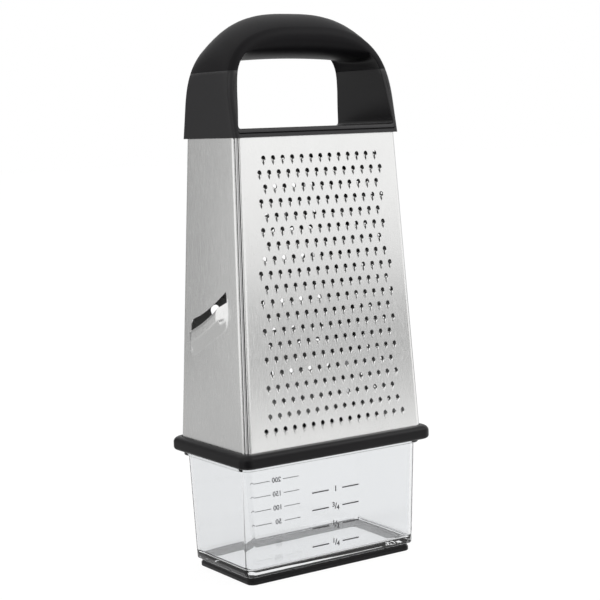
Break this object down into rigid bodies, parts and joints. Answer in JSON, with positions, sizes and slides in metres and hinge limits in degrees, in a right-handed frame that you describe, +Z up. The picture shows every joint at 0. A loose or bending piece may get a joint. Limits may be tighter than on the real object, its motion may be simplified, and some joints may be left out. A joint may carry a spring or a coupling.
{
  "type": "box grater",
  "caption": "Four-sided box grater with a soft-grip handle and a clear measuring container under its base",
  "frame": {"origin": "on the table, under the middle of the foot", "axes": "+Z up through the handle, the wide side with medium teeth faces -Y, the slicer side faces -X"},
  "size_m": [0.126, 0.0812, 0.3045],
  "materials": {
    "steel_sheet": "satin brushed stainless sheet",
    "bright_strip": "bright rolled stainless strip",
    "screw_steel": "plain zinc-plated screws",
    "hard_plastic": "fine-textured moulded plastic",
    "soft_grip": "satin soft overmould",
    "soft_ring": "satin soft moulding",
    "clear_plastic": "clear moulded plastic, polished"
  },
  "bodies": {
    "container": {"container": "clear_plastic", "foot_ring": "soft_ring"},
    "grater": {"handle_frame": "hard_plastic", "handle_grip": "soft_grip", "top_retainer": "hard_plastic", "retainer_screws": "screw_steel", "front_panel": "steel_sheet", "back_panel": "steel_sheet", "left_panel": "steel_sheet", "right_panel": "steel_sheet", "front_left_strip": "bright_strip", "front_right_strip": "bright_strip", "back_left_strip": "bright_strip", "back_right_strip": "bright_strip", "base_frame": "hard_plastic", "base_ring": "soft_ring"}
  },
  "joints": [
    {"name": "lift_grater_off_container", "type": "slide", "parent": "container", "child": "grater", "axis": [0, 0, 1], "range_m": [0, 0.08]}
  ]
}
